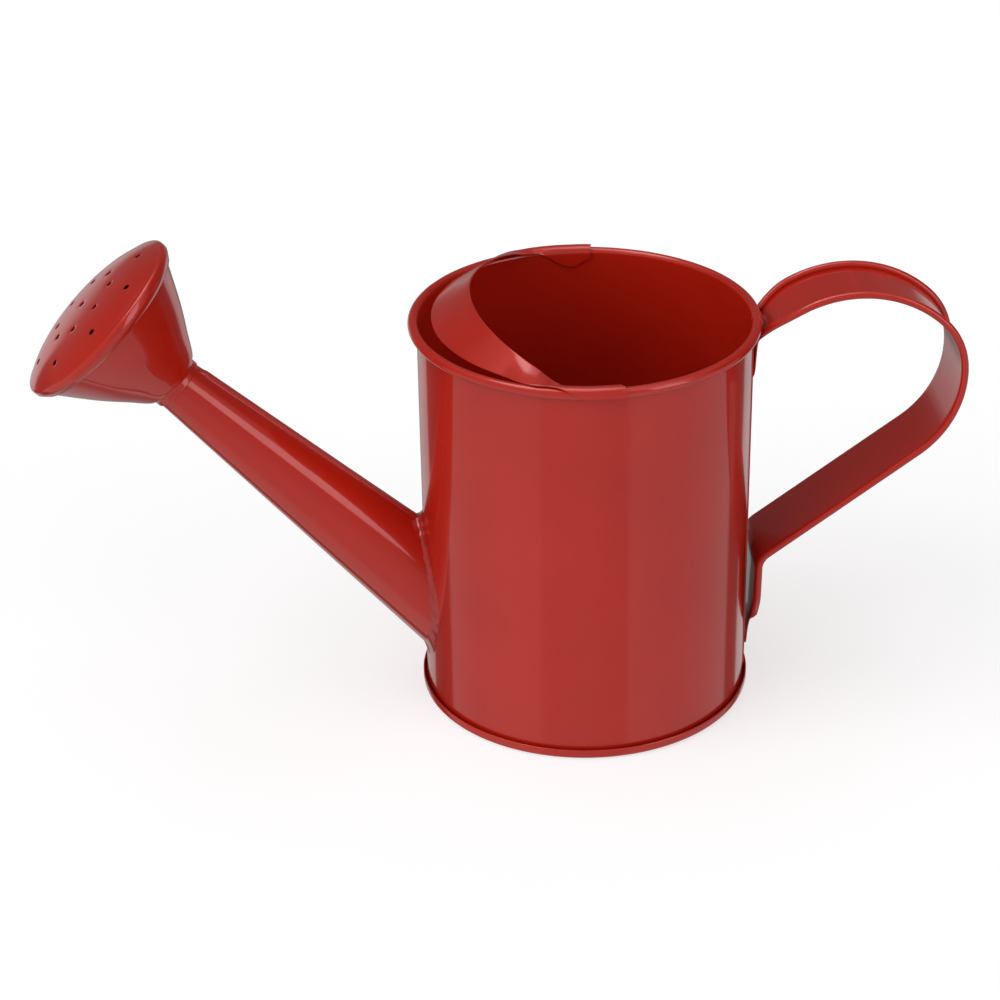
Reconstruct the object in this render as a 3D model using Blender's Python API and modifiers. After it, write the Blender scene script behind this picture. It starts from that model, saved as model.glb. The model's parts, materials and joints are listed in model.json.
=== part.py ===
"""A small sheet-metal watering can: round can, spout with a pull-off rose, splash guard and strap handle.

Frame: metres, +Z up, origin at the centre of the can's flat underside.
The spout points towards -X, the handle towards +X, and the can is symmetric about the plane Y = 0.
"""

import math

import bmesh
import bpy
import numpy as np
from mathutils import Matrix, Vector

MM = 0.001

# Sheet and clearances
SHEET = 0.40 * MM
GAP = 0.30 * MM
TURNS = 60  # facets round the can
ROSE_TURNS = 44  # facets round the rose

# Can
CAN_RADIUS = 40.0 * MM
CAN_INNER = CAN_RADIUS - SHEET
BEAD_TUBE = 1.25 * MM
BEAD_RADIUS = CAN_INNER + BEAD_TUBE
BEAD_HEIGHT = 97.85 * MM
PAN_RADIUS = 41.0 * MM
PAN_HEIGHT = 2.4 * MM
WALL_FOOT = SHEET + GAP

# Spout, as a cone along its own axis
SPOUT_HEIGHT = 29.7 * MM
SPOUT_RISE = math.radians(44.6)
SPOUT_FOOT_RADIUS = 11.93 * MM
SPOUT_TIP_RADIUS = 6.15 * MM
SPOUT_LENGTH = 80.9 * MM
SEAM_WIDTH = 2.6 * MM
SEAM_END = SPOUT_LENGTH - 3.0 * MM
SOLDER_LEG = 1.7 * MM

# Rose, measured along its own axis from the spout's tip
ROSE_RISE = SPOUT_RISE + math.radians(1.9)
NECK_OVERLAP = 1.4 * MM
NECK_RADIUS = SPOUT_TIP_RADIUS + GAP + SHEET
FUNNEL_SLOPE = 0.645
FUNNEL_BASE_RADIUS = 7.20 * MM
FUNNEL_SWELL = 0.45 * MM  # how far the cone bulges half way along
FACE_RADIUS = 22.85 * MM
FACE_START = 22.7 * MM
FACE_SKIRT = 2.7 * MM
FACE_DOME_RADIUS = 19.55 * MM
FACE_SHOULDER = 3.2 * MM
FACE_CROWN = 5.9 * MM
FACE_EDGE = ((0.0, 0.9 * MM), (0.22 * MM, 1.45 * MM), (0.75 * MM, 1.9 * MM))  # inwards, forwards
FACE_RINGS = (0.97, 0.72, 0.38)  # shares of the dome's radius that carry a ring of vertices
HOLE_RADIUS = 0.75 * MM
HOLE_RINGS = ((0.0, 1, 0.0), (9.5 * MM, 8, 28.5), (17.1 * MM, 8, 9.0))  # radius, count, first angle

# Splash guard: half its spread round the rim, and its edges in plan, as circles centred on the X axis
GUARD_SHEET = 0.35 * MM
GUARD_SPREAD = math.radians(97.0)
GUARD_LOW_CENTRE, GUARD_LOW_RADIUS = -6.0 * MM, 42.3 * MM
GUARD_TOP_CENTRE, GUARD_TOP_RADIUS = -21.5 * MM, 48.8 * MM
GUARD_LOW_HEIGHT = 99.25 * MM
GUARD_TOP_HEIGHT, GUARD_TOP_TILT = 99.4 * MM, 0.33
GUARD_FOLD_START, GUARD_FOLD_FULL = math.radians(56.0), math.radians(80.0)
GUARD_HANG = 4.0 * MM

# Handle strap, bent in the plane Y = 0: start, heading, then (length) or (radius, turn) from foot to top
STRAP_START = (41.15 * MM, 6.3 * MM)
STRAP_HEADING = math.radians(89.0)
STRAP_BENDS = (
    (26.3 * MM, 0.0),
    (5.5 * MM, -52.9),
    (44.7 * MM, 0.0),
    (24.7 * MM, 58.4),
    (17.5 * MM, 42.6),
    (29.2 * MM, 90.4),
    (2.2 * MM, 0.0),
    (2.8 * MM, 40.9),
    (10.5 * MM, 0.0),
)
STRAP_SHEET = 0.45 * MM
STRAP_FLAT = (9.6 * MM, 9.0 * MM)  # foot and top: half the flat width, between the curled edges
STRAP_CURL = 0.70 * MM  # radius of each curled edge, at mid sheet
STRAP_CURL_TURN = math.radians(285.0)
TAB_PLAIN = (8.6 * MM, 11.5 * MM)  # foot and top: the rounded tongue without curls
TAB_TAPER = (19.0 * MM, 24.0 * MM)  # foot and top: where the strap has its full width
TAB_HALF_WIDTH = 4.2 * MM
CURL_GROWTH = 5.0 * MM  # length over which the curls roll up

RED = (0.36, 0.012, 0.008, 1.0)
SOLDER_RED = (0.32, 0.014, 0.010, 1.0)


def clear_scene():
    for obj in list(bpy.data.objects):
        bpy.data.objects.remove(obj, do_unlink=True)


def make_collection(name):
    collection = bpy.data.collections.new(name)
    bpy.context.scene.collection.children.link(collection)
    return collection


def make_material(name, colour, roughness, metallic):
    material = bpy.data.materials.new(name)
    material.use_nodes = True
    shader = material.node_tree.nodes["Principled BSDF"]
    shader.inputs["Base Color"].default_value = colour
    shader.inputs["Roughness"].default_value = roughness
    shader.inputs["Metallic"].default_value = metallic
    return material


def object_from(name, vertices, edges, faces, collection, material=None, smooth_angle=40.0):
    """A mesh object from lists, shaded smooth where its faces meet gently."""
    mesh = bpy.data.meshes.new(name)
    mesh.from_pydata([tuple(v) for v in vertices], edges, faces)
    obj = bpy.data.objects.new(name, mesh)
    collection.objects.link(obj)
    if material:
        mesh.materials.append(material)
    if faces:
        mesh.shade_smooth()
        mesh.set_sharp_from_angle(angle=math.radians(smooth_angle))
    return obj


def arc(centre, radius, start, end, count):
    """Points on an arc in the (r, z) half-plane, angles in degrees from +r towards +z."""
    angles = np.radians(np.linspace(start, end, count))
    return [(centre[0] + radius * math.cos(a), centre[1] + radius * math.sin(a)) for a in angles]


def turned(name, outline, collection, material, matrix=None, steps=TURNS):
    """Turns a closed outline of (r, z) points about Z, and places it with matrix.

    Each outline starts on its outer side and runs down it, so the faces point out.
    """
    on_axis = [abs(r) < 1e-9 for r, _ in outline]
    edges = []
    for i in range(len(outline)):
        j = (i + 1) % len(outline)
        if not (on_axis[i] and on_axis[j]):
            edges.append((i, j))
    obj = object_from(name, [(r, 0.0, z) for r, z in outline], edges, [], collection, material)
    screw = obj.modifiers.new("Turn", "SCREW")
    screw.axis = "Z"
    screw.steps = steps
    screw.render_steps = steps
    screw.use_merge_vertices = True
    screw.merge_threshold = 0.01 * MM
    screw.use_smooth_shade = True
    if matrix is not None:
        obj.matrix_world = matrix
    return obj


def frame_along(origin, direction):
    """A matrix at origin whose Z axis lies along direction, and whose Y axis is the world's."""
    z_axis = Vector(direction).normalized()
    y_axis = Vector((0.0, 1.0, 0.0))
    x_axis = y_axis.cross(z_axis)
    rotation = Matrix((x_axis, y_axis, z_axis)).transposed().to_4x4()
    return Matrix.Translation(Vector(origin)) @ rotation


def cut(obj, cutter, name):
    boolean = obj.modifiers.new(name, "BOOLEAN")
    boolean.operation = "DIFFERENCE"
    boolean.solver = "EXACT"
    boolean.object = cutter
    cutter.hide_render = True
    cutter.display_type = "WIRE"


def primitive_cone(name, collection, r_low, r_high, low, high, matrix, sides=TURNS):
    """A closed cone or cylinder along the Z axis of matrix, from low to high."""
    mesh = bpy.data.meshes.new(name)
    bm = bmesh.new()
    bmesh.ops.create_cone(
        bm, cap_ends=True, segments=sides, radius1=r_low, radius2=r_high, depth=high - low
    )
    bmesh.ops.translate(bm, vec=(0.0, 0.0, (high + low) / 2), verts=bm.verts)
    bm.to_mesh(mesh)
    bm.free()
    obj = bpy.data.objects.new(name, mesh)
    collection.objects.link(obj)
    obj.matrix_world = matrix
    return obj


def grid_faces(rows, columns, wrap_rows=False, wrap_columns=False):
    faces = []
    for i in range(rows if wrap_rows else rows - 1):
        for j in range(columns if wrap_columns else columns - 1):
            i2, j2 = (i + 1) % rows, (j + 1) % columns
            faces.append((i * columns + j, i * columns + j2, i2 * columns + j2, i2 * columns + j))
    return faces


def face_outwards(obj):
    bm = bmesh.new()
    bm.from_mesh(obj.data)
    bmesh.ops.recalc_face_normals(bm, faces=bm.faces)
    bm.to_mesh(obj.data)
    bm.free()


def solidify(obj, thickness):
    shell = obj.modifiers.new("Sheet", "SOLIDIFY")
    shell.thickness = thickness
    shell.offset = 0.0
    shell.use_even_offset = True


# --- Can ---------------------------------------------------------------------------------------


def can_wall_outline():
    """The rolled wall, with its top edge curled outwards into the rim bead."""
    bead = (BEAD_RADIUS, BEAD_HEIGHT)
    curl_end = -125.0
    outer = arc(bead, BEAD_TUBE, 180.0, curl_end, 10)
    inner = arc(bead, BEAD_TUBE - SHEET, curl_end, 180.0, 8)
    points = [(CAN_INNER, WALL_FOOT), *outer, *inner, (CAN_RADIUS, WALL_FOOT)]
    return points[::-1]


def make_can_wall(parts, cutters, material):
    wall = turned("can_wall", can_wall_outline(), parts, material)
    hole = primitive_cone(
        "spout_hole_cutter",
        cutters,
        SPOUT_FOOT_RADIUS - 0.9 * MM,
        SPOUT_FOOT_RADIUS - 0.9 * MM,
        -16.0 * MM,
        16.0 * MM,
        spout_frame(),
        sides=40,
    )
    cut(wall, hole, "Spout hole")
    return wall


def make_base_pan(parts, material):
    """The pressed bottom: a flat disc with its edge turned up round the wall."""
    lip = 0.15 * MM
    outline = [
        (PAN_RADIUS, PAN_HEIGHT - lip),
        (PAN_RADIUS, 2 * lip),
        (PAN_RADIUS - 2 * lip, 0.0),
        (0.0, 0.0),
        (0.0, SHEET),
        (CAN_RADIUS + GAP, SHEET),
        (CAN_RADIUS + GAP, PAN_HEIGHT - lip),
        (CAN_RADIUS + GAP + lip, PAN_HEIGHT),
        (PAN_RADIUS - lip, PAN_HEIGHT),
    ]
    return turned("base_pan", outline, parts, material)


def make_base_seal(parts, material):
    """The fillet of solder inside, which makes the joint of wall and pan watertight."""
    low, leg = SHEET + GAP, 1.5 * MM
    edge = CAN_INNER - GAP
    outline = [(edge, low + leg), (edge, low), (edge - leg, low), (edge - 0.65 * leg, low + 0.35 * leg)]
    return turned("base_solder", outline, parts, material)


# --- Splash guard ------------------------------------------------------------------------------


def radius_on_circle(angle, centre, radius):
    """Distance from the can's axis, at an angle from the spout, of a circle centred on the X axis."""
    return centre * math.cos(angle) + math.sqrt(radius**2 - (centre * math.sin(angle)) ** 2)


def smooth_step(value, start, end):
    t = min(max((value - start) / (end - start), 0.0), 1.0)
    return t * t * (3.0 - 2.0 * t)


def guard_edges(angle):
    """The free edge and the lower edge as (r, z) points, before the ends are folded."""
    free_r = radius_on_circle(angle, GUARD_TOP_CENTRE, GUARD_TOP_RADIUS)
    wrap = BEAD_TUBE + GAP + GUARD_SHEET / 2
    hang_r = BEAD_RADIUS - wrap
    if free_r < hang_r:
        reach = free_r * math.cos(angle) - 9.0 * MM
        free = (free_r, GUARD_TOP_HEIGHT + GUARD_TOP_TILT * reach)
    else:
        hang = smooth_step(angle, math.radians(75.0), math.radians(91.0))
        lift = smooth_step(angle, math.radians(91.5), math.radians(98.0))
        free = (hang_r, BEAD_HEIGHT + 1.1 * MM - (1.1 * MM + GUARD_HANG) * hang + 2.6 * MM * lift)
    low_r = min(radius_on_circle(angle, GUARD_LOW_CENTRE, GUARD_LOW_RADIUS), hang_r)
    return free, (low_r, GUARD_LOW_HEIGHT)


def guard_section(angle, count):
    """Points across the sheet at one angle, from the lower or folded edge to the free edge."""
    wrap = BEAD_TUBE + GAP + GUARD_SHEET / 2
    free, low = guard_edges(angle)
    dr, dz = free[0] - BEAD_RADIUS, free[1] - BEAD_HEIGHT
    tangent = math.degrees(math.atan2(dz, dr) % (2 * math.pi) - math.acos(min(wrap / math.hypot(dr, dz), 1.0)))
    fold = smooth_step(angle, GUARD_FOLD_START, GUARD_FOLD_FULL)
    start = tangent + (-12.0 - tangent) * fold
    folded = arc((BEAD_RADIUS, BEAD_HEIGHT), wrap, start, tangent, count)
    lay_over = smooth_step(angle, GUARD_FOLD_START - math.radians(6.0), GUARD_FOLD_START + math.radians(3.0))
    foot = [l + (f - l) * lay_over for l, f in zip(low, folded[0])]
    path = [tuple(foot), *folded[1:], free] if fold > 0.0 else [tuple(foot), free]
    lengths = np.concatenate([[0.0], np.cumsum([math.dist(a, b) for a, b in zip(path, path[1:])])])
    along = np.linspace(0.0, lengths[-1], count)
    columns = [np.interp(along, lengths, [p[k] for p in path]) for k in (0, 1)]
    return list(zip(*columns))


def make_splash_guard(parts, material):
    """A crescent dam on the spout's side of the mouth, its ends folded over the rim bead."""
    stations, across = 53, 8
    vertices = []
    for angle in np.linspace(-GUARD_SPREAD, GUARD_SPREAD, stations):
        for r, z in guard_section(abs(angle), across):
            vertices.append((-r * math.cos(angle), -r * math.sin(angle), z))
    guard = object_from("splash_guard", vertices, [], grid_faces(stations, across), parts, material)
    solidify(guard, GUARD_SHEET)
    return guard


# --- Spout -------------------------------------------------------------------------------------


def spout_direction():
    return Vector((-math.cos(SPOUT_RISE), 0.0, math.sin(SPOUT_RISE)))


def spout_frame():
    return frame_along((-CAN_RADIUS, 0.0, SPOUT_HEIGHT), spout_direction())


def spout_radius(along):
    return SPOUT_FOOT_RADIUS + (SPOUT_TIP_RADIUS - SPOUT_FOOT_RADIUS) * along / SPOUT_LENGTH


def foot_point(angle, grow, along_more=0.0):
    """Where a line of the spout, grown outwards by grow, meets the can's wall, then further along it."""
    place = spout_frame()
    low, high = -30.0 * MM, 60.0 * MM
    clear = CAN_RADIUS + GAP
    for _ in range(50):
        middle = (low + high) / 2
        radius = spout_radius(middle) + grow
        point = place @ Vector((radius * math.cos(angle), radius * math.sin(angle), middle))
        if math.hypot(point.x, point.y) < clear:
            low = middle
        else:
            high = middle
    along = high + along_more
    radius = spout_radius(along) + grow
    return place @ Vector((radius * math.cos(angle), radius * math.sin(angle), along))


def make_spout_tube(parts, cutters, material):
    """The rolled cone of the spout, trimmed to the can, with the raised lock seam along its top."""
    lengths = [*np.linspace(-26.0 * MM, SEAM_END, 10), SEAM_END + 0.5 * MM, SPOUT_LENGTH]
    stations, round_count = len(lengths), 64
    vertices = []
    for side in (0.0, -SHEET):
        for along in lengths:
            for k in range(round_count):
                angle = 2 * math.pi * k / round_count
                radius = spout_radius(along) + side
                across = abs(math.remainder(angle, 2 * math.pi)) * radius
                if side == 0.0 and along <= SEAM_END and across < SEAM_WIDTH / 2:
                    radius += SHEET
                vertices.append((radius * math.cos(angle), radius * math.sin(angle), along))
    faces = grid_faces(stations, round_count, wrap_columns=True)
    shift = stations * round_count
    faces += [tuple(v + shift for v in reversed(face)) for face in faces]
    for row, turn in ((0, True), (stations - 1, False)):
        for k in range(round_count):
            a, b = row * round_count + k, row * round_count + (k + 1) % round_count
            face = (a, b, b + shift, a + shift)
            faces.append(face[::-1] if turn else face)
    tube = object_from("spout_tube", vertices, [], faces, parts, material)
    face_outwards(tube)
    tube.matrix_world = spout_frame()
    can = primitive_cone(
        "can_cutter",
        cutters,
        CAN_RADIUS + GAP,
        CAN_RADIUS + GAP,
        -20.0 * MM,
        BEAD_HEIGHT,
        Matrix.Identity(4),
        sides=2 * TURNS,
    )
    cut(tube, can, "Foot")
    return tube


def make_spout_solder(parts, material):
    """The fillet of solder round the spout's foot."""
    stations = 48
    clear = GAP + SHEET
    vertices = []
    for k in range(stations):
        angle = 2 * math.pi * k / stations
        inner = foot_point(angle, clear)
        wide = foot_point(angle, clear + SOLDER_LEG)
        tall = foot_point(angle, clear, SOLDER_LEG)
        hollow = (wide + tall + inner) / 3 + ((wide + tall) / 2 - inner) * 0.1
        vertices += [inner, wide, hollow, tall]
    faces = grid_faces(stations, 4, wrap_rows=True, wrap_columns=True)
    solder = object_from("spout_solder", vertices, [], faces, parts, material)
    face_outwards(solder)
    return solder


# --- Rose --------------------------------------------------------------------------------------


def rose_direction():
    return Vector((-math.cos(ROSE_RISE), 0.0, math.sin(ROSE_RISE)))


def rose_frame():
    tip = Vector((-CAN_RADIUS, 0.0, SPOUT_HEIGHT)) + spout_direction() * SPOUT_LENGTH
    return frame_along(tip, rose_direction())


def funnel_radius(along):
    return FUNNEL_BASE_RADIUS + FUNNEL_SLOPE * along


def make_rose_funnel(parts, material, matrix):
    """The rose's neck and cone, with a rounded shoulder where they meet."""
    shoulder = 3.4 * MM
    end = FACE_START - 0.9 * MM
    neck_end = 0.4 * MM
    bend = [
        (NECK_RADIUS + 0.10 * MM, neck_end + 0.1 * MM),
        (NECK_RADIUS + 1.10 * MM, neck_end + 0.6 * MM),
        (funnel_radius(shoulder) - 0.75 * MM, shoulder - 1.3 * MM),
    ]
    outer = [(NECK_RADIUS, -NECK_OVERLAP), (NECK_RADIUS, neck_end), *bend, (funnel_radius(shoulder), shoulder)]
    middle = (shoulder + end) / 2
    swell = [(funnel_radius(middle) + FUNNEL_SWELL, middle)]
    outer += [*swell, (funnel_radius(end), end)]
    thick = SHEET * 1.2
    inner = [(r - thick, z) for r, z in ((funnel_radius(end), end), *swell)]
    inner.append((funnel_radius(shoulder) - thick, shoulder + 0.2 * MM))
    inner += [(r - 0.8 * thick, z + 0.6 * thick) for r, z in reversed(bend[1:])]
    inner += [(NECK_RADIUS - SHEET, neck_end + SHEET), (NECK_RADIUS - SHEET, -NECK_OVERLAP)]
    return turned("rose_funnel", (outer + inner)[::-1], parts, material, matrix, ROSE_TURNS)


def dome_height(share):
    """Height of the dome above its shoulder's plane, flatter in the middle than a sphere."""
    return FACE_SHOULDER + (FACE_CROWN - FACE_SHOULDER) * (1.0 - (share**2 + share**4) / 2)


def face_outline():
    """The domed front, its tight edge and the skirt that is pressed over the funnel."""
    skirt_end = FACE_START - FACE_SKIRT
    skirt_r = funnel_radius(skirt_end) + GAP / 0.8 + SHEET
    outside = [(skirt_r, skirt_end), (FACE_RADIUS, FACE_START)]
    outside += [(FACE_RADIUS - inwards, FACE_START + forwards) for inwards, forwards in FACE_EDGE]
    outside += [(FACE_DOME_RADIUS * share, FACE_START + dome_height(share)) for share in FACE_RINGS]
    outside.append((0.0, FACE_START + FACE_CROWN))
    inside = [(0.0, FACE_START + FACE_CROWN - SHEET)]
    for share in reversed(FACE_RINGS):
        inside.append((FACE_DOME_RADIUS * share, FACE_START + dome_height(share) - SHEET))
    for inwards, forwards in reversed(FACE_EDGE):
        inside.append((FACE_RADIUS - SHEET - 0.8 * inwards, FACE_START + 0.8 * forwards))
    inside.append((FACE_RADIUS - SHEET, FACE_START))
    inside.append((skirt_r - SHEET, skirt_end))
    return (outside + inside)[::-1]


def make_rose_face(parts, cutters, material, matrix):
    face = turned("rose_face", face_outline(), parts, material, matrix, ROSE_TURNS)
    mesh = bpy.data.meshes.new("rose_hole_cutter")
    bm = bmesh.new()
    for ring_radius, count, first in HOLE_RINGS:
        for k in range(count):
            angle = math.radians(first + 360.0 * k / count)
            # A hole's angle is counted from +Y towards the lower side of the face.
            centre = Vector((-ring_radius * math.sin(angle), ring_radius * math.cos(angle), FACE_START))
            made = bmesh.ops.create_cone(
                bm, cap_ends=True, segments=10, radius1=HOLE_RADIUS, radius2=HOLE_RADIUS, depth=20.0 * MM
            )
            bmesh.ops.translate(bm, vec=centre, verts=made["verts"])
    bm.to_mesh(mesh)
    bm.free()
    cutter = bpy.data.objects.new("rose_hole_cutter", mesh)
    cutters.objects.link(cutter)
    cutter.matrix_world = matrix
    cut(face, cutter, "Holes")
    return face


# --- Handle ------------------------------------------------------------------------------------


def strap_route(step=2.4 * MM, turn_step=8.0):
    """Stations along the strap's mid line: (x, z, heading, distance from the foot)."""
    x, z = STRAP_START
    heading = STRAP_HEADING
    route = [(x, z, heading, 0.0)]
    distance = 0.0
    for size, turn in STRAP_BENDS:
        if turn == 0.0:
            count = max(2, round(size / (3 * step)))
            for _ in range(count):
                x += size / count * math.cos(heading)
                z += size / count * math.sin(heading)
                distance += size / count
                route.append((x, z, heading, distance))
            continue
        count = max(3, round(abs(turn) / turn_step))
        bend = math.radians(turn) / count
        chord = 2 * size * math.sin(abs(bend) / 2)
        for _ in range(count):
            x += chord * math.cos(heading + bend / 2)
            z += chord * math.sin(heading + bend / 2)
            heading += bend
            distance += size * abs(bend)
            route.append((x, z, heading, distance))
    return route


def refine_ends(route):
    """Adds stations near both tips, where the strap narrows to a rounded tongue."""
    total = route[-1][3]
    tip = [0.0, 0.3 * MM, 1.0 * MM, 2.2 * MM, TAB_HALF_WIDTH]
    foot, top = (tip + [plain + share * CURL_GROWTH for share in (0.0, 0.33, 0.67, 1.0)] for plain in TAB_PLAIN)
    wanted = {round(s, 7) for s in foot} | {round(total - s, 7) for s in top}
    wanted |= {round(p[3], 7) for p in route if foot[-1] + 1.0 * MM < p[3] < total - top[-1] - 1.0 * MM}
    distances = [p[3] for p in route]
    columns = [[p[k] for p in route] for k in range(3)]
    return [tuple(float(np.interp(s, distances, c)) for c in columns) + (s,) for s in sorted(wanted)]


def strap_shape(distance, total):
    """Half the flat width and the curl's turn, at a distance along the strap."""
    at_foot = distance < total / 2
    end = distance if at_foot else total - distance
    plain, full = (TAB_PLAIN[0], TAB_TAPER[0]) if at_foot else (TAB_PLAIN[1], TAB_TAPER[1])
    tip = min(end / TAB_HALF_WIDTH, 1.0)
    rounded = TAB_HALF_WIDTH * math.sqrt(max(1.0 - (1.0 - tip) ** 2, 0.06))
    taper = smooth_step(end, 0.7 * plain, full)
    curl = smooth_step(end, plain, plain + CURL_GROWTH)
    flat = STRAP_FLAT[0] + (STRAP_FLAT[1] - STRAP_FLAT[0]) * distance / total
    return rounded + (flat - TAB_HALF_WIDTH) * taper, STRAP_CURL_TURN * max(curl, 0.02)


def strap_section(half_width, curl_turn):
    """Points (y, height above the flat) across the strap, both edges curled outwards."""
    steps = 4
    curl = []
    for t in np.linspace(0.0, curl_turn, steps + 1):
        curl.append((half_width + STRAP_CURL * math.sin(t), STRAP_CURL * (1.0 - math.cos(t))))
    left = [(-y, h) for y, h in reversed(curl)]
    return left + [(0.0, 0.0)] + curl


def make_handle_strap(parts, material):
    """A strip of sheet, both edges curled outwards, bent into the loop of the handle."""
    route = refine_ends(strap_route())
    total = route[-1][3]
    vertices = []
    columns = 0
    for x, z, heading, distance in route:
        section = strap_section(*strap_shape(distance, total))
        columns = len(section)
        outward = (math.sin(heading), -math.cos(heading))
        for y, height in section:
            vertices.append((x + outward[0] * height, y, z + outward[1] * height))
    faces = grid_faces(len(route), columns)
    strap = object_from("handle_strap", vertices, [], faces, parts, material)
    solidify(strap, STRAP_SHEET)
    return strap


# --- Assembly ----------------------------------------------------------------------------------


def build():
    clear_scene()
    parts = make_collection("watering_can")
    cutters = make_collection("cutters")
    enamel = make_material("red_enamel", RED, 0.28, 0.35)
    solder = make_material("painted_solder", SOLDER_RED, 0.38, 0.30)

    make_can_wall(parts, cutters, enamel)
    make_base_pan(parts, enamel)
    make_base_seal(parts, solder)
    make_splash_guard(parts, enamel)
    make_spout_tube(parts, cutters, enamel)
    make_spout_solder(parts, solder)

    seat = bpy.data.objects.new("rose_seat", None)
    parts.objects.link(seat)
    seat.matrix_world = rose_frame()
    bpy.context.view_layer.update()
    for piece in (
        make_rose_funnel(parts, enamel, rose_frame()),
        make_rose_face(parts, cutters, enamel, rose_frame()),
    ):
        piece.parent = seat
        piece.matrix_parent_inverse = seat.matrix_world.inverted()

    make_handle_strap(parts, enamel)


build()
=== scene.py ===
"""Looks of a small enamelled sheet-metal watering can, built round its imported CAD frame.

Frame: metres, +Z up, origin at the centre of the can's flat underside, spout towards -X and handle
towards +X. Every piece but the two solder fillets is rolled, pressed or bent sheet, modelled from the
middle line of that sheet.
"""

import json
import math

import bmesh
import bpy
import numpy as np
from mathutils import Matrix, Vector, geometry, noise

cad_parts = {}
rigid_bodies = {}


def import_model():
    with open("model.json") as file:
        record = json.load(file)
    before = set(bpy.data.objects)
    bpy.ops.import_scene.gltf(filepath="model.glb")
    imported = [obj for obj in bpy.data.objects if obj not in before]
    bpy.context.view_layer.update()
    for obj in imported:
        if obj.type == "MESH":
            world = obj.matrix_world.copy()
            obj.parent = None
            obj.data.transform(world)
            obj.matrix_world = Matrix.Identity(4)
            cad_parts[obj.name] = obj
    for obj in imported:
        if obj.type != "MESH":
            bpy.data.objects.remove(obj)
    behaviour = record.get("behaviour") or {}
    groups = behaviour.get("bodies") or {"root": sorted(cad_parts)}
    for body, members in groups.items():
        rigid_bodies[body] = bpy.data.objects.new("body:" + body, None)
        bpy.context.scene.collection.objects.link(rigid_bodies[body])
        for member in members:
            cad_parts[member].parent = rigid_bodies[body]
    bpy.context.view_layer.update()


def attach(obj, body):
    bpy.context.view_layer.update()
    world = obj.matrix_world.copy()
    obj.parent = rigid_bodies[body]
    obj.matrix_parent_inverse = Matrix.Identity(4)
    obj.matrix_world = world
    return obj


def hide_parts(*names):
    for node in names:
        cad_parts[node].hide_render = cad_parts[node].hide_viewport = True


for leftover in list(bpy.data.objects):
    bpy.data.objects.remove(leftover, do_unlink=True)

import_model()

MM = 0.001

# Sheet, and the clearance between pieces
SHEET = 0.40 * MM
GAP = 0.30 * MM

# Can
CAN_RADIUS = 40.0 * MM
CAN_INNER = CAN_RADIUS - SHEET
BEAD_TUBE = 1.25 * MM
BEAD_RADIUS = CAN_INNER + BEAD_TUBE
BEAD_HEIGHT = 97.85 * MM
PAN_RADIUS = 41.0 * MM
PAN_HEIGHT = 2.4 * MM
WALL_FOOT = SHEET + GAP
SIDE_SEAM = math.radians(-9.0)  # azimuth of the can's lap seam, beside the handle
LAP_STEP = 0.32 * MM
LAP_ANGLE = 0.13  # radians over which the step fades out, on the wall and on the rim
RIM_LAP_ANGLE = 0.22

# Spout, as a cone along its own axis
SPOUT_HEIGHT = 29.7 * MM
SPOUT_RISE = math.radians(44.6)
SPOUT_FOOT_RADIUS = 11.93 * MM
SPOUT_HOLE_RADIUS = SPOUT_FOOT_RADIUS - 0.9 * MM
SPOUT_TIP_RADIUS = 6.15 * MM
SPOUT_LENGTH = 80.9 * MM
SEAM_END = SPOUT_LENGTH - 2.6 * MM
SEAM_EDGE = 2.4 * MM  # arc length from the spout's top line to the last column of the seam
SOLDER_LEG = 1.7 * MM

# Rose, measured along its own axis from the spout's tip
ROSE_RISE = SPOUT_RISE + math.radians(1.9)
NECK_OVERLAP = 1.4 * MM
NECK_RADIUS = SPOUT_TIP_RADIUS + 0.12 * MM + SHEET  # a closer fit than the CAD's
FUNNEL_SLOPE = 0.645
FUNNEL_BASE_RADIUS = 7.20 * MM
FUNNEL_SWELL = 0.45 * MM
FACE_RADIUS = 22.85 * MM
FACE_START = 22.7 * MM
FACE_SKIRT = 1.5 * MM  # shorter than the CAD's
FUNNEL_END = FACE_START - 0.5 * MM
FACE_BORDER = 21.2 * MM  # radius of the drilled part, inside the tight edge
ROSE_TURNS = 176  # columns round the rose
FACE_DOME_RADIUS = 19.55 * MM
FACE_SHOULDER = 3.2 * MM
FACE_CROWN = 5.9 * MM
HOLE_RADIUS = 0.75 * MM
HOLE_RINGS = ((0.0, 1, 0.0), (9.5 * MM, 8, 28.5), (17.1 * MM, 8, 9.0))  # radius, count, first angle

# Splash guard
GUARD_SHEET = 0.35 * MM
GUARD_BACK, GUARD_FRONT = math.radians(-98.0), math.radians(96.0)
GUARD_LOW_CENTRE, GUARD_LOW_RADIUS = -6.0 * MM, 42.3 * MM
GUARD_TOP_CENTRE, GUARD_TOP_RADIUS = -21.5 * MM, 48.8 * MM
GUARD_LOW_HEIGHT = 99.25 * MM
GUARD_TOP_HEIGHT, GUARD_TOP_TILT = 99.4 * MM, 0.33
GUARD_REST_START = math.radians(54.0)  # where the lower edge starts to come up onto the bead
GUARD_FOLD_START, GUARD_FOLD_FULL = math.radians(71.0), math.radians(85.0)
GUARD_OVER_START, GUARD_OVER_FULL = math.radians(66.0), math.radians(80.0)  # free edge to flap
GUARD_HANG_START, GUARD_HANG_FULL = math.radians(77.0), math.radians(91.0)
GUARD_LIFT_START, GUARD_LIFT_FULL = math.radians(91.5), math.radians(98.0)  # the flap's end
GUARD_HANG = 3.2 * MM

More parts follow.
